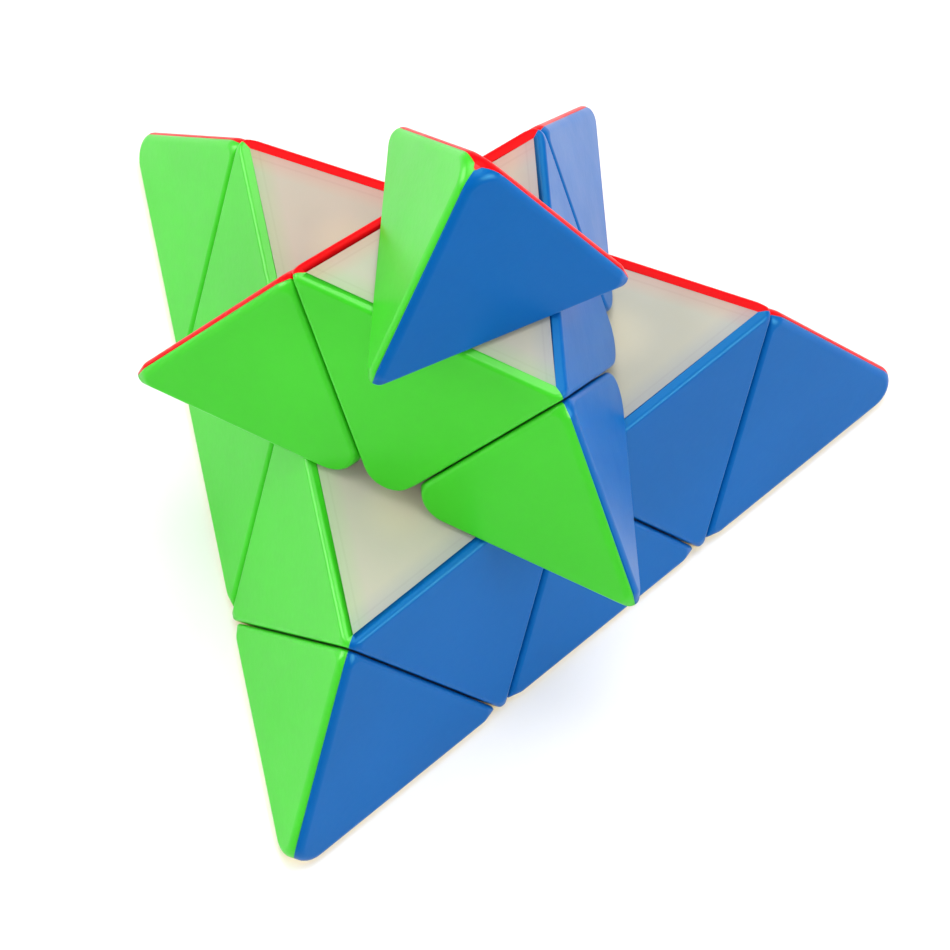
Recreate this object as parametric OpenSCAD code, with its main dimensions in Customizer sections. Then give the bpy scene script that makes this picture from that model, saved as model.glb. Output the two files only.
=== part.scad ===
// Pyramid twisty puzzle: four push-on tips, four axial centres and six edges that turn about a ball core.
// It stands on its base face, with the origin at the middle of that face and +Z up.
// Every piece is drawn round the middle of the pyramid, then turned and lifted to where it stands.

/* [Pyramid] */
// Length along one edge of the pyramid, between its sharp corners
edge_length = 102.4; // [100:0.2:106]
// Share of that length taken by a tip
tip_part = 0.347; // [0.34:0.001:0.35]
// Share of that length left outside the layer round the far corner
layer_part = 0.34; // [0.33:0.001:0.345]
// Gap between neighbouring pieces at a cut
cut_gap = 0.15; // [0.1:0.05:0.3]

/* [Turned layers] */
// How far the middle layer stands turned from the base layer
layer_turn = 52.8; // [-60:0.1:60]
// How far the top tip stands turned from the base layer
tip_turn = -16.1; // [-60:0.1:60]

/* [Coloured plates] */
// Thickness of a coloured plate
plate_thick = 1.2; // [1:0.1:1.6]
// Rounding of the pyramid's own edges, each drawn as one flat
edge_round = 1.2; // [0.8:0.1:1.4]
// Rounding of a piece's edges at a cut, each drawn as one flat
cut_round = 0.6; // [0.3:0.05:0.9]
// Rounding of a facet's corner at the middle of a face
mid_corner = 3.5; // [2:0.1:4]
// Rounding of a facet's corner on an edge of the pyramid
rim_corner = 1.4; // [1.2:0.1:2.2]
// Rounding of the pyramid's own corners
tip_corner = 3.15; // [2:0.05:3.4]
// Diameter of the pegs behind a plate
peg_dia = 2.4; // [2:0.1:2.6]
// Length of the pegs behind a plate
peg_length = 1.8; // [1.2:0.1:1.9]
// Distance of a plate's pegs from the middle of its facet
peg_reach = 3.5; // [3:0.1:4]
// Play round a peg in its socket
peg_play = 0.05; // [0.05:0.05:0.1]

/* [Mechanism] */
// Radius of the core's ball
core_radius = 8; // [7.8:0.1:8.2]
// Radius of the sphere in which the edges' feet turn
foot_radius = 16; // [15.8:0.1:16.2]
// Gap between round faces that turn on each other
ball_gap = 0.25; // [0.2:0.05:0.4]
// Reach of a core arm from the middle of the ball
arm_reach = 11; // [10.8:0.1:11.1]
// Diameter of a centre's stem
stem_dia = 6.8; // [6.4:0.1:7]
// Diameter of an axis screw
screw_dia = 2.9; // [2.6:0.1:3]
// Diameter of an axis screw's head
head_dia = 5.8; // [5:0.1:6]
// Outside diameter of an axis spring
spring_dia = 5.9; // [5.4:0.1:6.6]
// Thickness of the spring's wire
wire_dia = 0.7; // [0.6:0.05:0.8]
// Number of turns in an axis spring
spring_turns = 4.5; // [4:0.5:6]
// Diameter of a tip's snap plug
plug_dia = 8.8; // [8.4:0.1:8.9]

/* [Hidden] */
$fn = 64;
corners = [0, 1, 2, 3];
corner_names = ["top", "left", "right", "front"];
// A face lies opposite its corner: yellow is the base, opposite the top
face_names = ["yellow", "blue", "green", "red"];
face_colors = ["gold", "royalblue", "limegreen", "red"];
body_color = "ivory";
core_color = "dimgray";
metal_color = "silver";
edges = [[0, 1], [0, 2], [0, 3], [1, 2], [1, 3], [2, 3]];

// Distances from the middle of the pyramid, measured along the line to a corner
height = edge_length * sqrt(2 / 3);
face_out = height / 4;
layer_cut = (layer_part - 1 / 4) * height;
tip_cut = (3 / 4 - tip_part) * height;
corner_out = 3 * height / 4;
// Unit directions from the middle to the four corners
corner_dirs = [[0, 0, 1], lower_dir(150), lower_dir(30), lower_dir(-90)];
// Cosine of the angle between the directions of two sides that meet along an edge
tetra_lean = -1 / 3;
octa_lean = 1 / 3;
// Longer than any piece, for cutting with a flat side
side_size = 2 * edge_length;
// Small overlap that joins two shapes into one piece
overlap = 0.5;

// The core's arms and screw holes
arm_start = core_radius - 1;
arm_start_radius = 2.4;
arm_end_radius = 3.3;
screw_hole_start = 2.5;
screw_hole_radius = screw_dia / 2 + 0.05;
// The stack along each axis, from the core outward
stem_start = arm_reach + 0.15;
stem_gap = 0.05;
spring_start = 19;
spring_end = 24.5;
washer_thick = 0.5;
washer_radius = 3.6;
washer_hole_radius = 1.6;
head_start = spring_end + washer_thick;
head_thick = 1.8;
recess_width = 0.8;
recess_length = 3.6;
recess_depth = 1.1;
screw_bore_radius = screw_dia / 2 + 0.25;
spring_pocket_radius = 4.2;
thread_start = 3;
thread_end = 10.6;
thread_pitch = 0.8;
thread_depth = 0.18;
spring_sides = 6;
spring_steps = 12;
// The tip's snap plug and the pocket that it turns in
pocket_start = 28.5;
plug_start = 28.7;
plug_wall = 1.25;
plug_play = 0.15;
bead_start = 30;
bead_height = 0.8;
bead_out = 0.3;

function lower_dir(azimuth) = [cos(azimuth) * sqrt(8) / 3, sin(azimuth) * sqrt(8) / 3, -1 / 3];
function others(used) = [for (c = corners) if (len(search(c, used)) == 0) c];
function unit(v) = v / norm(v);
function sum(v, i = 0) = i < len(v) ? v[i] + sum(v, i + 1) : 0;
function tip_name(c) = str(corner_names[c], "_tip");
function center_name(c) = str(corner_names[c], "_center");
function edge_name(e) = str(corner_names[e[0]], "_", corner_names[e[1]], "_edge");
function body_name(piece) = str(piece, "_body");
function plate_name(piece, f) = str(piece, "_", face_names[f]);

// A side is a flat that bounds a piece: its outward direction, and its distance from the middle
function face_side(f) = [-corner_dirs[f], face_out];
function outer_side(c, cut) = [corner_dirs[c], cut - cut_gap / 2];
function inner_side(c, cut) = [-corner_dirs[c], -cut - cut_gap / 2];
function tip_sides(c) = concat([inner_side(c, tip_cut)], [for (f = others([c])) face_side(f)]);
function center_sides(c) = concat(
    [inner_side(c, layer_cut), outer_side(c, tip_cut)],
    [for (f = others([c])) face_side(f)],
    [for (f = others([c])) outer_side(f, layer_cut)]
);
function edge_sides(e) = concat(
    [for (c = e) inner_side(c, layer_cut)],
    [for (f = others(e)) face_side(f)]
);

// A flat across the line where sides a and b would meet, set back from it by a depth
function flat_across(a, b, depth) = [
    unit(a[0] + b[0]),
    (a[1] + b[1]) / norm(a[0] + b[0]) - depth
];
// Two faces of the pyramid meet in a wider rounding than a cut and its neighbour
function rounding(a, b) = a[1] == face_out && b[1] == face_out ? edge_round : cut_round;
// The flats in place of the rounded edges of a solid whose neighbouring sides lean as given
function edge_flats(sides, lean) = [
    for (i = [0 : len(sides) - 2])
        for (j = [i + 1 : len(sides) - 1])
            let (a = sides[i], b = sides[j])
                if (abs(a[0] * b[0] - lean) < 0.01)
                    flat_across(a, b, rounding(a, b) * (2 / norm(a[0] + b[0]) - 1))
];
// How deep a corner is cut back: by the edges' rounding, and by its facets' wider rounding
function tetra_depth(corner, round) = 2 * round + (corner - round) * sqrt(8 / 9);
function octa_depth(corner) = (sqrt(3) - 1) * cut_round + (corner - cut_round) * sqrt(2 / 3);
// How far the layers' cuts meet from the middle of a face, seen along a flat at a centre's inner corner
mid_shift = (3 * layer_cut - face_out) * sqrt(3) / 2;
// The flat across the corner of a tetrahedron that lies opposite one of its sides
function corner_flat(sides, opposite, depth) = [
    -sides[opposite][0],
    sum([for (s = sides) s[1]]) - sides[opposite][1] - depth
];

function tip_flats(s) = concat(
    edge_flats(s, tetra_lean),
    [corner_flat(s, 0, tetra_depth(tip_corner, edge_round))],
    [for (i = [1 : 3]) corner_flat(s, i, tetra_depth(rim_corner, cut_round))]
);
function center_flats(c, s) = concat(
    edge_flats(s, octa_lean),
    [for (f = others([c])) for (g = others([c])) if (f < g)
        flat_across(face_side(f), face_side(g), octa_depth(rim_corner))],
    [for (f = others([c]))
        flat_across(face_side(f), inner_side(c, layer_cut), octa_depth(mid_corner) - mid_shift)]
);
function edge_piece_flats(s) = concat(
    edge_flats(s, tetra_lean),
    [for (i = [0, 1]) corner_flat(s, i, tetra_depth(rim_corner, cut_round))],
    [for (i = [2, 3]) corner_flat(s, i, tetra_depth(mid_corner, cut_round))]
);

// The middle of a facet: toward is the corner it lies nearest, or for an edge the corner it lies away from
function facet_middle(f, toward, share) =
    share * corner_out * corner_dirs[toward] - (1 - share) * face_out * corner_dirs[f];
tip_share = 2 / 3;
center_share = 1 / 3;
edge_share = -1 / 3;

module along(dir) {
    rotate([0, acos(dir[2]), atan2(dir[1], dir[0])]) children();
}

module within_side(side) {
    along(side[0])
        translate([-side_size / 2, -side_size / 2, side[1] - side_size])
            cube(side_size);
}

module within_sides(sides) {
    intersection_for (s = sides) within_side(s);
}

module tip_outline(c) {
    s = tip_sides(c);
    within_sides(concat(s, tip_flats(s)));
}

module center_outline(c) {
    s = center_sides(c);
    within_sides(concat(s, center_flats(c, s)));
}

module edge_outline(e) {
    s = edge_sides(e);
    within_sides(concat(s, edge_piece_flats(s)));
}

// Cuts an outline down to the part behind its coloured plates
module behind_plates(faces) {
    intersection() {
        children();
        within_sides([for (f = faces) [-corner_dirs[f], face_out - plate_thick]]);
    }
}

// Cuts an outline down to the plate of face f, which meets its neighbours halfway round an edge
module plate_part(f, faces) {
    intersection() {
        children();
        within_side([corner_dirs[f], plate_thick - face_out]);
        within_sides([for (g = faces) if (g != f) [unit(corner_dirs[f] - corner_dirs[g]), 0]]);
    }
}

// Three pegs, or their sockets with some play, behind the facet of face f
module pegs(f, toward, share, play) {
    middle = facet_middle(f, toward, share);
    up = unit(corner_dirs[toward] + corner_dirs[f] / 3);
    across = cross(corner_dirs[f], up);
    for (turn = [0, 120, 240])
        translate(middle + peg_reach * (cos(turn) * up + sin(turn) * across))
            along(corner_dirs[f])
                translate([0, 0, plate_thick / 2])
                    cylinder(d = peg_dia + 2 * play, h = plate_thick / 2 + peg_length + play);
}

module tip_body(c) {
    color(body_color)
        difference() {
            union() {
                behind_plates(others([c])) tip_outline(c);
                along(corner_dirs[c]) snap_plug();
            }
            along(corner_dirs[c])
                translate([0, 0, plug_start - overlap])
                    cylinder(r = plug_dia / 2 - plug_wall, h = tip_cut - plug_start + 2 * overlap);
            for (f = others([c])) pegs(f, c, tip_share, peg_play);
        }
}

module snap_plug() {
    translate([0, 0, plug_start])
        cylinder(d = plug_dia, h = tip_cut - plug_start + 2 * overlap);
    translate([0, 0, bead_start])
        cylinder(d1 = plug_dia, d2 = plug_dia + 2 * bead_out, h = bead_height / 2);
    translate([0, 0, bead_start + bead_height / 2])
        cylinder(d1 = plug_dia + 2 * bead_out, d2 = plug_dia, h = bead_height / 2);
}

module tip_plate(c, f) {
    color(face_colors[f])
        union() {
            plate_part(f, others([c])) tip_outline(c);
            pegs(f, c, tip_share, 0);
        }
}

module center_body(c) {
    color(body_color)
        difference() {
            union() {
                difference() {
                    behind_plates(others([c])) center_outline(c);
                    sphere(r = foot_radius + ball_gap);
                }
                along(corner_dirs[c])
                    translate([0, 0, stem_start])
                        cylinder(d = stem_dia, h = spring_start - stem_start);
            }
            along(corner_dirs[c]) axis_cavity();
            for (f = others([c])) pegs(f, c, center_share, peg_play);
        }
}

// The screw bore, the spring's pocket, and the pocket and groove for the tip's plug
module axis_cavity() {
    pocket_radius = plug_dia / 2 + plug_play;
    translate([0, 0, stem_start - overlap])
        cylinder(r = screw_bore_radius, h = spring_start - stem_start + 2 * overlap);
    translate([0, 0, spring_start])
        cylinder(r = spring_pocket_radius, h = pocket_start - spring_start + overlap);
    translate([0, 0, pocket_start])
        cylinder(r = pocket_radius, h = tip_cut - pocket_start + overlap);
    translate([0, 0, bead_start - plug_play])
        cylinder(r = pocket_radius + bead_out, h = bead_height + 2 * plug_play);
}

module center_plate(c, f) {
    color(face_colors[f])
        union() {
            plate_part(f, others([c])) center_outline(c);
            pegs(f, c, center_share, 0);
        }
}

module edge_body(e) {
    color(body_color)
        difference() {
            union() {
                behind_plates(others(e)) edge_outline(e);
                edge_foot(e);
            }
            room_for_other_feet(e);
            for (f = others(e)) pegs(f, others(concat(e, [f]))[0], edge_share, peg_play);
        }
}

// The part of the foot sphere on the edge's side of its two layers' middles
module edge_foot(e) {
    intersection() {
        difference() {
            sphere(r = foot_radius);
            sphere(r = core_radius + ball_gap);
        }
        within_sides([for (c = e) [-corner_dirs[c], -cut_gap / 2]]);
    }
}

// Where the feet of the two layers that the edge doesn't belong to pass
module room_for_other_feet(e) {
    difference() {
        sphere(r = foot_radius + ball_gap);
        within_sides([for (f = others(e)) [corner_dirs[f], -cut_gap / 2]]);
    }
}

module edge_plate(e, f) {
    color(face_colors[f])
        union() {
            plate_part(f, others(e)) edge_outline(e);
            pegs(f, others(concat(e, [f]))[0], edge_share, 0);
        }
}

module core() {
    color(core_color)
        difference() {
            union() {
                sphere(r = core_radius);
                for (c = corners)
                    along(corner_dirs[c])
                        translate([0, 0, arm_start])
                            cylinder(r1 = arm_start_radius, r2 = arm_end_radius, h = arm_reach - arm_start);
            }
            for (c = corners)
                along(corner_dirs[c])
                    translate([0, 0, screw_hole_start])
                        cylinder(r = screw_hole_radius, h = arm_reach);
        }
}

module axis_screws() {
    color(metal_color)
        for (c = corners) along(corner_dirs[c]) screw();
}

module screw() {
    shank = screw_dia / 2;
    ridges = [thread_start : thread_pitch : thread_end];
    difference() {
        rotate_extrude()
            polygon(concat(
                [[0, thread_start]],
                [for (z = ridges) each [[shank - thread_depth, z], [shank, z + thread_pitch / 2]]],
                [[shank - thread_depth, thread_end + thread_pitch], [shank, thread_end + 2 * thread_pitch]],
                [[shank, head_start], [head_dia / 2, head_start]],
                [[head_dia / 2, head_start + head_thick / 2], [shank, head_start + head_thick]],
                [[0, head_start + head_thick]]
            ));
        for (turn = [0, 90])
            rotate([0, 0, turn])
                translate([-recess_length / 2, -recess_width / 2, head_start + head_thick - recess_depth])
                    cube([recess_length, recess_width, recess_depth + overlap]);
    }
}

module axis_washers() {
    color(metal_color)
        for (c = corners)
            along(corner_dirs[c])
                translate([0, 0, spring_end])
                    difference() {
                        cylinder(r = washer_radius, h = washer_thick);
                        translate([0, 0, -overlap])
                            cylinder(r = washer_hole_radius, h = washer_thick + 2 * overlap);
                    }
}

module axis_springs() {
    color(metal_color)
        for (c = corners) along(corner_dirs[c]) spring();
}

// One wire of six sides, wound upward round the axis
module spring() {
    rings = spring_turns * spring_steps;
    coil_radius = (spring_dia - wire_dia) / 2;
    low = spring_start + wire_dia / 2 + stem_gap;
    high = spring_end - wire_dia / 2 - stem_gap;
    points = [
        for (k = [0 : rings])
            for (m = [0 : spring_sides - 1])
                let (
                    round_axis = 360 * k / spring_steps,
                    round_wire = 360 * m / spring_sides,
                    out = coil_radius + wire_dia / 2 * cos(round_wire),
                    up = low + (high - low) * k / rings + wire_dia / 2 * sin(round_wire)
                )
                    [out * cos(round_axis), out * sin(round_axis), up]
    ];
    walls = [
        for (k = [0 : rings - 1])
            for (m = [0 : spring_sides - 1])
                let (
                    a = k * spring_sides + m,
                    b = k * spring_sides + (m + 1) % spring_sides
                )
                    each [[a, b, b + spring_sides], [a, b + spring_sides, a + spring_sides]]
    ];
    first_cap = [for (m = [spring_sides - 1 : -1 : 0]) m];
    last_cap = [for (m = [0 : spring_sides - 1]) rings * spring_sides + m];
    polyhedron(points, concat(walls, [first_cap, last_cap]));
}

// Turns a piece with its layer and lifts it so that the pyramid stands on its base face
module placed(turn) {
    translate([0, 0, face_out]) rotate([0, 0, turn]) children();
}

placed(0) core();
placed(0) axis_screws();
placed(0) axis_springs();
placed(0) axis_washers();
for (c = corners) {
    turn = c == 0 ? tip_turn : 0;
    placed(turn) tip_body(c);
    for (f = others([c]))
        placed(turn) tip_plate(c, f);
}
for (c = corners) {
    turn = c == 0 ? layer_turn : 0;
    placed(turn) center_body(c);
    for (f = others([c]))
        placed(turn) center_plate(c, f);
}
for (e = edges) {
    turn = e[0] == 0 ? layer_turn : 0;
    placed(turn) edge_body(e);
    for (f = others(e))
        placed(turn) edge_plate(e, f);
}
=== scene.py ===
"""Looks of the pyramid twisty puzzle: rounded pieces in moulded plastic, a pale floor and soft light."""

import math
from itertools import combinations

import bmesh
import bpy
from mathutils import Matrix, Vector


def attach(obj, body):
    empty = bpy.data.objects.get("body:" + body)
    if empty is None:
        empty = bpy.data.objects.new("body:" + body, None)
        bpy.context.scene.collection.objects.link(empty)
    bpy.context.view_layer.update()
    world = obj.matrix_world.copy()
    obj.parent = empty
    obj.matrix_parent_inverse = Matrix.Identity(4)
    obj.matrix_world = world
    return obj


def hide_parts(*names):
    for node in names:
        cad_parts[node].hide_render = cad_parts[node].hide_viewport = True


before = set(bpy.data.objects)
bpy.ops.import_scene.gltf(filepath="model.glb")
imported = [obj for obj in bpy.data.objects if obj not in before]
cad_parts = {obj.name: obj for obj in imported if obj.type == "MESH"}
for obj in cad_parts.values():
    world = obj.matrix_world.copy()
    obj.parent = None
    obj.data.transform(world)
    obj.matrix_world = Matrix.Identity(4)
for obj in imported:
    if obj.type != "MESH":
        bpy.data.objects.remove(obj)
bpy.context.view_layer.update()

# ---------------------------------------------------------------- sizes, in metres and degrees
MM = 0.001
EDGE_LENGTH = 102.4 * MM
# Shares of an edge of the pyramid: taken by a tip, and left outside the layer round the far corner
TIP_PART = 0.347
LAYER_PART = 0.34
CUT_GAP = 0.15 * MM
PLATE_THICK = 1.2 * MM
LAYER_TURN = 52.8
TIP_TURN = -16.1
# Rounding of the pyramid's own edges, and of the edges at a cut
EDGE_ROUND = 1.3 * MM
CUT_ROUND = 0.65 * MM
# Rounding of a facet's corner at the middle of a face, on an edge of the pyramid, and at its corners
MID_CORNER = 3.5 * MM
RIM_CORNER = 1.4 * MM
TIP_CORNER = 3.15 * MM
# A hair inside the CAD faces, so that every outside face comes from the rounded outline
INSET = 0.01 * MM
# Steps across half of a rounded edge
EDGE_STEPS = 5
# Steps along a rounded corner: an odd number, so that no point lies halfway round it
CORNER_STEPS = 9
# Zones beside the outlines that keep the edges' feet and the tips' snap plugs
FOOT_ZONE = 16.1 * MM
FOOT_ZONE_STEPS = 4
PLUG_ZONE_RADIUS = 4.9 * MM
PLUG_ZONE = (28 * MM, 35 * MM)
PLUG_ZONE_SIDES = 64
# Points closer than this are joined: in a rounded outline, and in a piece's mesh
OUTLINE_JOIN = 0.001 * MM
MESH_JOIN = 0.0005 * MM
SHORTEST_EDGE = 0.0002 * MM
# Faces of an outline that lean less than this from each other become one, in degrees
FLAT_ANGLE = 0.2
# Edges sharper than this, in degrees, stay crisp
SHARP_ANGLE = 35

HEIGHT = EDGE_LENGTH * math.sqrt(2 / 3)
FACE_OUT = HEIGHT / 4
LAYER_CUT = (LAYER_PART - 1 / 4) * HEIGHT
TIP_CUT = (3 / 4 - TIP_PART) * HEIGHT
MIDDLE = Vector((0, 0, FACE_OUT))

CORNERS = ["top", "left", "right", "front"]
# A face lies opposite its corner
FACES = ["yellow", "blue", "green", "red"]
# Cosine between the outward directions of two sides that share an edge
TETRA_LEAN = -1 / 3
OCTA_LEAN = 1 / 3
# The largest error in such a cosine
LEAN_ERROR = 0.01
# Further than this from the middle, a facet's corner lies at a corner or on an edge of the pyramid
AT_CORNER = 2.5 * FACE_OUT
AT_EDGE = 1.3 * FACE_OUT

# ---------------------------------------------------------------- colours, gloss, light and view
PLATE_COLOR = {
    "yellow": (0.86, 0.62, 0.02, 1),
    "blue": (0.001, 0.104, 0.375, 1),
    "green": (0.044, 0.55, 0.016, 1),
    "red": (0.72, 0.004, 0.007, 1),
}
PLATE_GLOSS = {"yellow": 0.2, "blue": 0.15, "green": 0.26, "red": 0.04}
# The tint of each colour's reflections
PLATE_GLINT = {
    "yellow": (1, 0.95, 0.7, 1),
    "blue": (0.2, 0.9, 1, 1),
    "green": (0.9, 1, 0.8, 1),
    "red": (1, 0.35, 0.3, 1),
}
PLASTIC_IOR = 1.46
IVORY_GLOSS = 0.12
IVORY_LIGHT = (0.445, 0.43, 0.345, 1)
IVORY_DARK = (0.4, 0.39, 0.31, 1)
IVORY_SPOT = (0.53, 0.49, 0.35, 1)
IVORY_LINE = (0.26, 0.24, 0.20, 1)
# The pale spot's inner and outer radius, in millimetres, and its strength
SPOT_INNER = 1.0
SPOT_OUTER = 5.5
SPOT_SHARE = 0.6
# The rim line's distance from a plate and its half width, in millimetres, and its strength
RIM_LINE = 0.9
RIM_LINE_WIDTH = (0.05, 0.16)
RIM_LINE_SHARE = 0.13
# How far the plate's coloured light, painted into the ivory's colour, reaches from a plate, in
# millimetres, and how strongly
PAINTED_PLATE_LIGHT_REACH = 2.5
PAINTED_PLATE_LIGHT_SHARE = 0.22
# Where the plates' colour runs together at the pyramid's points: from the middle, and behind a plate
POINT_START = 56
POINT_DEPTH = 0.6
# Hairline scratches: the turn of each set in radians and its spacing in millimetres
HAIRLINES = ((0.6, 5.3), (2.2, 7.1))
HAIRLINE_AXIS = (0.4, 0.3, 0.86)
HAIRLINE_WIDTH = 0.05
WHITE = (1, 1, 1, 1)
CORE_GREY = (0.45, 0.45, 0.43, 1)
SCREW_GREY = (0.6, 0.6, 0.58, 1)
SPRING_GREY = (0.5, 0.5, 0.52, 1)
FLOOR_DARK = (0.92, 0.92, 0.92, 1)
FLOOR_LIGHT = (0.95, 0.95, 0.95, 1)
FLOOR_SIZE = 3.0
WORLD_STRENGTH = 0.52
LIGHT_DISTANCE = 0.9
VIEW_AZIMUTH = 11.723
VIEW_ELEVATION = 66.035
VIEW_ROLL = 7.306
VIEW_DISTANCE = 724.5 * MM
VIEW_LENS = 235.8
SENSOR_WIDTH = 36
NEAREST_SEEN = 0.01
AIM_HEIGHT = 31.347 * MM
AIM_ACROSS = 2.293 * MM
AIM_UP = -14.411 * MM


def lower_dir(azimuth):
    out = math.sqrt(8) / 3
    angle = math.radians(azimuth)
    return Vector((out * math.cos(angle), out * math.sin(angle), -1 / 3))


CORNER_DIRS = [Vector((0, 0, 1)), lower_dir(150), lower_dir(30), lower_dir(-90)]


def others(used):
    return [c for c in range(4) if c not in used]


# ---------------------------------------------------------------- the flat sides of each piece
def face_side(f):
    return -CORNER_DIRS[f], FACE_OUT - INSET


def outer_side(c, cut):
    return CORNER_DIRS[c], cut - CUT_GAP / 2 - INSET


def inner_side(c, cut):
    return -CORNER_DIRS[c], -cut - CUT_GAP / 2 - INSET


def tip_sides(c):
    return [inner_side(c, TIP_CUT)] + [face_side(f) for f in others([c])]


def center_sides(c):
    cuts = [inner_side(c, LAYER_CUT), outer_side(c, TIP_CUT)]
    faces = [face_side(f) for f in others([c])]
    return cuts + faces + [outer_side(f, LAYER_CUT) for f in others([c])]


def edge_sides(pair):
    return [inner_side(c, LAYER_CUT) for c in pair] + [face_side(f) for f in others(pair)]


# ---------------------------------------------------------------- meshes and objects
def as_mesh(shape, name):
    """A mesh from a bmesh, which is freed."""
    mesh = bpy.data.meshes.new(name)
    shape.to_mesh(mesh)
    shape.free()
    return mesh


def as_object(mesh, name):
    """An object in the scene that shows the mesh."""
    made = bpy.data.objects.new(name, mesh)
    bpy.context.scene.collection.objects.link(made)
    return made


# ---------------------------------------------------------------- rounded outlines
def corner_radius(point):
    """The rounding of a facet's corner, by where on the pyramid the corner lies."""
    if point.length > AT_CORNER:
        return TIP_CORNER
    if point.length > AT_EDGE:
        return RIM_CORNER
    return MID_CORNER


def is_face(side):
    return abs(side[1] - FACE_OUT) < 2 * INSET


def rounding(a, b):
    """The radius of the rounded edge between two sides."""
    return EDGE_ROUND if is_face(a) and is_face(b) else CUT_ROUND


def meeting_point(sides, depths):
    """Where three sides meet, each moved inward by its depth."""
    rows = Matrix([side[0] for side in sides])
    return rows.inverted() @ Vector([side[1] - depth for side, depth in zip(sides, depths)])


def rounded_corner_points(side, first, second, lean):
    """Points on the rounding of a facet's corner, where its side meets the first and the second side."""
    normal = side[0]
    round_first, round_second = rounding(side, first), rounding(side, second)
    depths = (0, round_first * (1 - lean), round_second * (1 - lean))
    corner = meeting_point((side, first, second), depths)
    radius = corner_radius(corner) - min(round_first, round_second)
    along_first = normal.cross(first[0]).normalized()
    along_second = normal.cross(second[0]).normalized()
    if along_first.dot(second[0]) > 0:
        along_first.negate()
    if along_second.dot(first[0]) > 0:
        along_second.negate()
    inward = (along_first + along_second).normalized()
    across = normal.cross(inward)
    if across.dot(first[0]) > 0:
        across.negate()
    # Every facet's corner has 60 degrees, so its rounding's centre lies two radii in and its arc has 120
    center = corner + 2 * radius * inward
    points = []
    for step in range(CORNER_STEPS + 1):
        share = step / CORNER_STEPS
        turn = math.radians(120 * (share - 1 / 2))
        out = -math.cos(turn) * inward + math.sin(turn) * across
        ball = round_first + (round_second - round_first) * share
        halfway = math.atan2(1 - lean, max(out.dot(first[0]), out.dot(second[0])))
        for up in range(EDGE_STEPS + 1):
            lean_over = halfway * up / EDGE_STEPS
            way = math.cos(lean_over) * normal + math.sin(lean_over) * out
            points.append(center + radius * out + ball * (way - normal))
    return points


def rounded_outline(name, sides, lean):
    """The solid within the sides, with its edges and corners rounded, as one closed mesh."""
    shape = bmesh.new()
    for side in sides:
        near = [s for s in sides if abs(s[0].dot(side[0]) - lean) < LEAN_ERROR]
        for i in range(3):
            for point in rounded_corner_points(side, near[i], near[i - 1], lean):
                shape.verts.new(point)
    bmesh.ops.remove_doubles(shape, verts=shape.verts, dist=OUTLINE_JOIN)
    hull = bmesh.ops.convex_hull(shape, input=shape.verts)
    spare = [e for e in hull["geom_interior"] + hull["geom_unused"] if isinstance(e, bmesh.types.BMVert)]
    bmesh.ops.delete(shape, geom=list(set(spare)), context="VERTS")
    flat = math.radians(FLAT_ANGLE)
    bmesh.ops.dissolve_limit(shape, angle_limit=flat, verts=shape.verts, edges=shape.edges)
    return as_mesh(shape, name)


# ---------------------------------------------------------------- pieces: CAD solids trimmed to outlines
def place(turn):
    """From the middle of the pyramid to where a piece stands, turned with its layer."""
    return Matrix.Translation(MIDDLE) @ Matrix.Rotation(math.radians(turn), 4, "Z")


def placed_tool(mesh, turn):
    """A tool for a boolean, moved from the middle of the pyramid to where its piece stands."""
    mesh.transform(place(turn))
    return as_object(mesh, mesh.name)


def applied(target, operation, tool):
    """The target's mesh after one exact boolean with the tool."""
    step = target.modifiers.new("step", "BOOLEAN")
    step.operation = operation
    step.solver = "EXACT"
    step.object = tool
    view = bpy.context.evaluated_depsgraph_get()
    mesh = bpy.data.meshes.new_from_object(target.evaluated_get(view))
    target.modifiers.remove(step)
    return mesh


def discard(thing):
    bpy.data.objects.remove(thing)


def foot_zone():
    """A ball that holds an edge's foot."""
    shape = bmesh.new()
    bmesh.ops.create_icosphere(shape, subdivisions=FOOT_ZONE_STEPS, radius=FOOT_ZONE)
    return as_mesh(shape, "foot_zone")


def plug_zone(c):
    """A cylinder that holds a tip's snap plug."""
    shape = bmesh.new()
    low, high = PLUG_ZONE
    turned = CORNER_DIRS[c].to_track_quat("Z", "Y").to_matrix().to_4x4()
    radius = PLUG_ZONE_RADIUS
    bmesh.ops.create_cone(
        shape, cap_ends=True, segments=PLUG_ZONE_SIDES, radius1=radius, radius2=radius,
        depth=high - low, matrix=turned @ Matrix.Translation((0, 0, (low + high) / 2)),
    )
    return as_mesh(shape, "plug_zone")


def welded(mesh):
    """Joins the mesh's points where its faces meet, and counts the edges that stay open."""
    shape = bmesh.new()
    shape.from_mesh(mesh)
    bmesh.ops.remove_doubles(shape, verts=shape.verts, dist=MESH_JOIN)
    bmesh.ops.dissolve_degenerate(shape, edges=shape.edges, dist=SHORTEST_EDGE)
    open_edges = sum(not e.is_manifold for e in shape.edges)
    shape.to_mesh(mesh)
    shape.free()
    return open_edges


def moulded(node, body, tool, material):
    """A piece that stands for a CAD node: its solid, trimmed to the tool's rounded outline."""
    solid = as_object(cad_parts[node].data.copy(), "solid")
    welded(solid.data)
    mesh = applied(solid, "INTERSECT", tool)
    open_edges = welded(mesh)
    if open_edges:
        print("open edges:", node, open_edges)
    discard(solid)
    mesh.name = node
    mesh.materials.clear()
    mesh.materials.append(material)
    mesh.polygons.foreach_set("use_smooth", [True] * len(mesh.polygons))
    mesh.set_sharp_from_angle(angle=math.radians(SHARP_ANGLE))
    piece = as_object(mesh, node + "_moulded")
    even = piece.modifiers.new("even_shading", "WEIGHTED_NORMAL")
    even.keep_sharp = True
    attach(piece, body)
    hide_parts(node)


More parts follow.
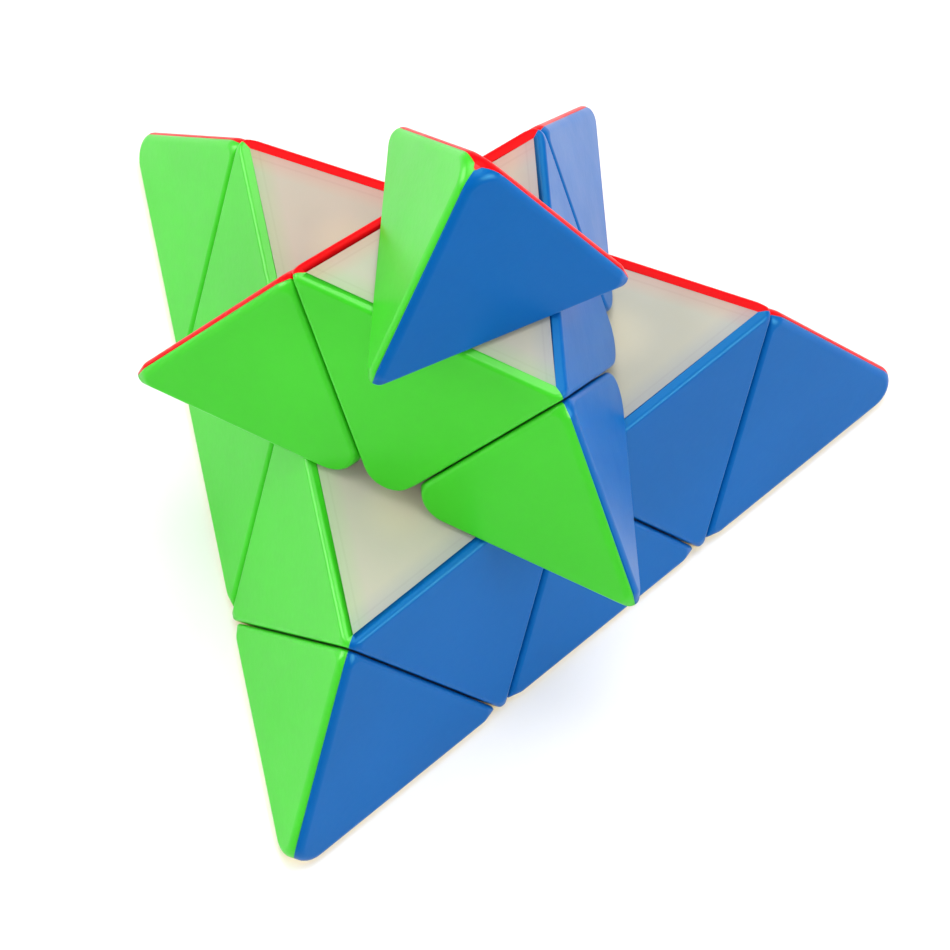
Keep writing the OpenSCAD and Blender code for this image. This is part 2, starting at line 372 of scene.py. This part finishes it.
def make_piece(name, body, sides, lean, faces, turn, zone=None):
    """All the nodes of one piece: its body and its coloured plates."""
    outline = placed_tool(rounded_outline("outline", sides, lean), turn)
    for f in faces:
        moulded(f"{name}_{FACES[f]}", body, outline, plastic[FACES[f]])
    if zone:
        extra = placed_tool(zone, turn)
        whole = applied(outline, "UNION", extra)
        discard(extra)
        discard(outline)
        outline = as_object(whole, "outline")
    moulded(f"{name}_body", body, outline, ivory[turn])
    discard(outline)


def make_pieces():
    for c in range(4):
        turn = TIP_TURN if c == 0 else 0
        name = f"{CORNERS[c]}_tip"
        make_piece(name, name, tip_sides(c), TETRA_LEAN, others([c]), turn, plug_zone(c))
    for c in range(4):
        body, turn = layer_of(c)
        make_piece(f"{CORNERS[c]}_center", body, center_sides(c), OCTA_LEAN, others([c]), turn)
    for pair in combinations(range(4), 2):
        body, turn = layer_of(pair[0])
        name = f"{CORNERS[pair[0]]}_{CORNERS[pair[1]]}_edge"
        make_piece(name, body, edge_sides(pair), TETRA_LEAN, others(pair), turn, foot_zone())


def layer_of(c):
    """The body that a centre or edge rides on, and its turn, by the first corner that it lies near."""
    return ("top_layer", LAYER_TURN) if c == 0 else ("base", 0)


# ---------------------------------------------------------------- materials
class Nodes:
    """A short way to build a material's nodes and links."""

    def __init__(self, name):
        self.material = bpy.data.materials.new(name)
        self.material.use_nodes = True
        self.tree = self.material.node_tree
        self.shader = self.tree.nodes["Principled BSDF"]

    def set(self, **values):
        """Constant values on the shader's own sockets."""
        for socket, value in values.items():
            self.shader.inputs[socket.replace("_", " ")].default_value = value

    def to_shader(self, value, socket):
        self.tree.links.new(value, self.shader.inputs[socket])

    def feed(self, socket, value):
        """Links a socket to the value, or sets it when the value is a constant."""
        if isinstance(value, bpy.types.NodeSocket):
            self.tree.links.new(value, socket)
        else:
            socket.default_value = value

    def add(self, kind, inputs=None, **settings):
        made = self.tree.nodes.new(kind)
        for key, value in settings.items():
            setattr(made, key, value)
        for key, value in (inputs or {}).items():
            self.feed(made.inputs[key], value)
        return made

    def place_in_mm(self):
        """Object coordinates in millimetres."""
        where = self.add("ShaderNodeTexCoord").outputs["Object"]
        per_metre = 1 / MM
        inputs = {0: where, 1: (per_metre, per_metre, per_metre)}
        return self.add("ShaderNodeVectorMath", inputs, operation="MULTIPLY").outputs[0]

    def noise(self, where, scale, detail=2):
        inputs = {"Vector": where, "Scale": scale, "Detail": detail}
        return self.add("ShaderNodeTexNoise", inputs).outputs["Fac"]

    def ranged(self, value, low, high, to_low, to_high, kind="SMOOTHSTEP"):
        inputs = {"Value": value, "From Min": low, "From Max": high, "To Min": to_low, "To Max": to_high}
        return self.add("ShaderNodeMapRange", inputs, interpolation_type=kind).outputs[0]

    def math(self, operation, a, b=0.0):
        return self.add("ShaderNodeMath", {0: a, 1: b}, operation=operation).outputs[0]

    def distance(self, a, b):
        return self.add("ShaderNodeVectorMath", {0: a, 1: b}, operation="DISTANCE").outputs["Value"]

    def dot(self, a, b):
        return self.add("ShaderNodeVectorMath", {0: a, 1: b}, operation="DOT_PRODUCT").outputs["Value"]

    def mixed(self, factor, a, b):
        """The colour a, turned into b by the factor."""
        made = self.add("ShaderNodeMix", data_type="RGBA")
        for index, value in ((0, factor), (6, a), (7, b)):
            self.feed(made.inputs[index], value)
        return made.outputs[2]

    def bump(self, height, strength, distance_mm, normal=None):
        inputs = {"Height": height, "Strength": strength, "Distance": distance_mm * MM}
        if normal:
            inputs["Normal"] = normal
        return self.add("ShaderNodeBump", inputs).outputs[0]


def shade(color, amount):
    return tuple(min(1, c * amount) for c in color[:3]) + (1,)


def coloured_plastic(name, color, gloss, glint):
    """Glossy moulded plastic: faint flow marks, a fine orange peel and a few hairlines."""
    n = Nodes(name)
    n.set(IOR=PLASTIC_IOR, Specular_IOR_Level=gloss, Specular_Tint=glint)
    n.set(Subsurface_Weight=0.35, Subsurface_Scale=1.2 * MM)
    n.set(Subsurface_Radius=tuple(0.2 + 0.8 * c for c in color[:3]))
    mm = n.place_in_mm()
    flow = n.ranged(n.noise(mm, scale=0.045, detail=3), 0.3, 0.7, 0, 1)
    speckle = n.ranged(n.noise(mm, scale=0.9), 0.4, 0.75, 0, 0.12)
    base = n.mixed(flow, shade(color, 0.96), shade(color, 1.04))
    n.to_shader(n.mixed(speckle, base, shade(color, 1.1)), "Base Color")
    wear = n.noise(mm, scale=0.1, detail=4)
    n.to_shader(n.ranged(wear, 0.3, 0.7, 0.28, 0.35), "Roughness")
    peel = n.bump(n.noise(mm, scale=1.1), strength=0.3, distance_mm=0.04)
    scratched = n.bump(hairlines(n, mm), strength=0.2, distance_mm=0.01, normal=peel)
    n.to_shader(scratched, "Normal")
    return n.material


def hairlines(n, mm):
    """Sparse straight hairline scratches in two directions, each a few millimetres long."""
    lines = []
    for turn, spacing in HAIRLINES:
        turned = n.add("ShaderNodeVectorRotate", {"Vector": mm, "Angle": turn, "Axis": HAIRLINE_AXIS})
        x = n.add("ShaderNodeSeparateXYZ", {0: turned.outputs[0]}).outputs["X"]
        away = n.math("PINGPONG", x, spacing / 2)
        short = n.ranged(n.noise(turned.outputs[0], scale=0.16, detail=1), 0.6, 0.64, 0, 1)
        lines.append(n.math("MULTIPLY", n.ranged(away, 0, HAIRLINE_WIDTH, 1, 0), short))
    return n.math("MAXIMUM", *lines)


def facet_middle(c, side):
    """The middle of a centre's facet on a side, in millimetres from the middle of the pyramid."""
    center = CORNER_DIRS[c] * FACE_OUT
    return (center + side[0] * (side[1] - side[0].dot(center))) / MM


def ivory_plastic(name, turn, spots):
    """Milky plastic with a rim line and some pale spots, and the coloured light of the plates beside it
    painted into its colour.
    """
    n = Nodes(name)
    n.set(IOR=PLASTIC_IOR, Specular_IOR_Level=IVORY_GLOSS)
    n.set(Subsurface_Weight=0.2, Subsurface_Scale=2 * MM, Subsurface_Radius=(1, 0.8, 0.55))
    mm = n.place_in_mm()
    turning = Matrix.Rotation(math.radians(turn), 3, "Z")
    cloud = n.ranged(n.noise(mm, scale=0.06), 0.35, 0.65, 0, 1)
    base = n.mixed(cloud, IVORY_DARK, IVORY_LIGHT)
    for spot in spots:
        away = n.distance(mm, turning @ spot + MIDDLE / MM)
        base = n.mixed(n.ranged(away, SPOT_INNER, SPOT_OUTER, SPOT_SHARE, 0), base, IVORY_SPOT)
    at_point = n.math("GREATER_THAN", n.distance(mm, MIDDLE / MM), POINT_START)
    for f, direction in enumerate(CORNER_DIRS):
        depth = depth_behind_plate(n, mm, turning @ direction)
        base = beside_plate(n, base, depth, at_point, PLATE_COLOR[FACES[f]])
    n.to_shader(base, "Base Color")
    wear = n.noise(mm, scale=0.15, detail=3)
    n.to_shader(n.ranged(wear, 0.3, 0.7, 0.34, 0.44), "Roughness")
    n.to_shader(n.bump(n.noise(mm, scale=0.35), strength=0.1, distance_mm=0.04), "Normal")
    return n.material


def depth_behind_plate(n, mm, inward):
    """How deep a point lies behind the plates of one face, in millimetres."""
    back = (FACE_OUT - PLATE_THICK - inward.dot(MIDDLE)) / MM
    return n.math("ADD", n.dot(mm, inward), back)


def beside_plate(n, base, depth, at_point, color):
    """The ivory beside a plate: a rim line, the plate's coloured light painted in as a tint near it, and
    the pyramid's points.
    """
    off_line = n.math("ABSOLUTE", n.math("SUBTRACT", depth, RIM_LINE))
    base = n.mixed(n.ranged(off_line, *RIM_LINE_WIDTH, RIM_LINE_SHARE, 0), base, IVORY_LINE)
    # Painted light: the plate's colour, fading over the reach, stands in for the plate's light carried
    # into the ivory
    base = n.mixed(n.ranged(depth, 0, PAINTED_PLATE_LIGHT_REACH, PAINTED_PLATE_LIGHT_SHARE, 0, "LINEAR"), base, color)
    shallow = n.math("LESS_THAN", depth, POINT_DEPTH)
    return n.mixed(n.math("MULTIPLY", at_point, shallow), base, color)


def hidden_material(name, color, metal, roughness, grain):
    """For the mechanism inside: plain moulded plastic, or drawn steel."""
    n = Nodes(name)
    n.set(Metallic=metal)
    mark = n.noise(n.place_in_mm(), scale=grain, detail=3)
    n.to_shader(n.mixed(mark, shade(color, 0.85), shade(color, 1.1)), "Base Color")
    n.to_shader(n.ranged(mark, 0.3, 0.7, roughness * 0.8, roughness * 1.2), "Roughness")
    return n.material


def paint_mechanism():
    hidden = {
        "core": hidden_material("core_plastic", CORE_GREY, metal=0, roughness=0.5, grain=0.4),
        "axis_screws": hidden_material("screw_steel", SCREW_GREY, metal=1, roughness=0.3, grain=3),
        "axis_washers": hidden_material("washer_steel", SCREW_GREY, metal=1, roughness=0.35, grain=2),
        "axis_springs": hidden_material("spring_steel", SPRING_GREY, metal=1, roughness=0.25, grain=4),
    }
    for node, material in hidden.items():
        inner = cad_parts[node].data
        inner.materials.clear()
        inner.materials.append(material)


plastic = {
    name: coloured_plastic(f"{name}_plastic", color, PLATE_GLOSS[name], PLATE_GLINT[name])
    for name, color in PLATE_COLOR.items()
}
base_spots = [facet_middle(c, outer_side(0, LAYER_CUT)) for c in others([0])]
layer_spots = [facet_middle(0, outer_side(0, TIP_CUT))]
ivory = {
    0: ivory_plastic("ivory_plastic_base", 0, base_spots),
    LAYER_TURN: ivory_plastic("ivory_plastic_layer", LAYER_TURN, layer_spots),
    TIP_TURN: ivory_plastic("ivory_plastic_tip", TIP_TURN, []),
}
paint_mechanism()
make_pieces()


# ---------------------------------------------------------------- floor, light and camera
def add_floor():
    shape = bmesh.new()
    bmesh.ops.create_grid(shape, x_segments=8, y_segments=8, size=FLOOR_SIZE)
    floor = as_object(as_mesh(shape, "floor"), "floor")
    n = Nodes("floor_paint")
    n.set(Specular_IOR_Level=0.2)
    mm = n.place_in_mm()
    n.to_shader(n.mixed(n.noise(mm, scale=0.02), FLOOR_DARK, FLOOR_LIGHT), "Base Color")
    n.to_shader(n.ranged(n.noise(mm, scale=0.1), 0.3, 0.7, 0.65, 0.75), "Roughness")
    floor.data.materials.append(n.material)


def add_light(name, azimuth, elevation, size, power, diffuse=True, glossy=True):
    """A square soft light that looks at the middle of the puzzle."""
    lamp = bpy.data.lights.new(name, "AREA")
    lamp.shape = "SQUARE"
    lamp.size = size
    lamp.energy = power
    around, up = math.radians(azimuth), math.radians(elevation)
    out = Vector((math.cos(up) * math.cos(around), math.cos(up) * math.sin(around), math.sin(up)))
    light = bpy.data.objects.new(name, lamp)
    light.location = MIDDLE + LIGHT_DISTANCE * out
    light.rotation_euler = out.to_track_quat("Z", "Y").to_euler()
    light.visible_diffuse = diffuse
    light.visible_glossy = glossy
    bpy.context.scene.collection.objects.link(light)


def add_lights():
    """Soft lights that shape the facets, and glints that only show as stripes along the roundings."""
    add_light("top_softbox", azimuth=100, elevation=70, size=0.6, power=5.2, glossy=False)
    add_light("front_softbox", azimuth=-90, elevation=42, size=0.6, power=2.3, glossy=False)
    add_light("left_softbox", azimuth=187, elevation=27, size=0.5, power=2.6)
    add_light("right_softbox", azimuth=-8, elevation=33, size=0.5, power=1.8)
    add_light("side_softbox", azimuth=60, elevation=8, size=0.6, power=4, glossy=False)
    add_light("top_glint", azimuth=100, elevation=70, size=0.8, power=20, diffuse=False)
    add_light("left_glint", azimuth=187, elevation=27, size=0.6, power=16, diffuse=False)
    add_light("right_glint", azimuth=-8, elevation=33, size=0.6, power=26, diffuse=False)


def add_world():
    world = bpy.data.worlds.new("studio")
    world.use_nodes = True
    sky = world.node_tree.nodes["Background"]
    sky.inputs["Color"].default_value = WHITE
    sky.inputs["Strength"].default_value = WORLD_STRENGTH
    bpy.context.scene.world = world


def add_camera():
    around, up, roll = (math.radians(a) for a in (VIEW_AZIMUTH, VIEW_ELEVATION, VIEW_ROLL))
    back = Vector((math.sin(around) * math.cos(up), -math.cos(around) * math.cos(up), math.sin(up)))
    level = Vector((math.cos(around), math.sin(around), 0))
    rise = back.cross(level)
    across = level * math.cos(roll) + rise * math.sin(roll)
    top = rise * math.cos(roll) - level * math.sin(roll)
    target = Vector((0, 0, AIM_HEIGHT)) + across * AIM_ACROSS + top * AIM_UP
    facing = Matrix((across, top, back)).transposed().to_4x4()
    lens = bpy.data.cameras.new("camera")
    lens.lens = VIEW_LENS
    lens.sensor_width = SENSOR_WIDTH
    lens.clip_start = NEAREST_SEEN
    camera = bpy.data.objects.new("camera", lens)
    camera.matrix_world = Matrix.Translation(target + back * VIEW_DISTANCE) @ facing
    bpy.context.scene.collection.objects.link(camera)
    bpy.context.scene.camera = camera


add_floor()
add_lights()
add_world()
add_camera()
bpy.context.scene.view_settings.view_transform = "Standard"
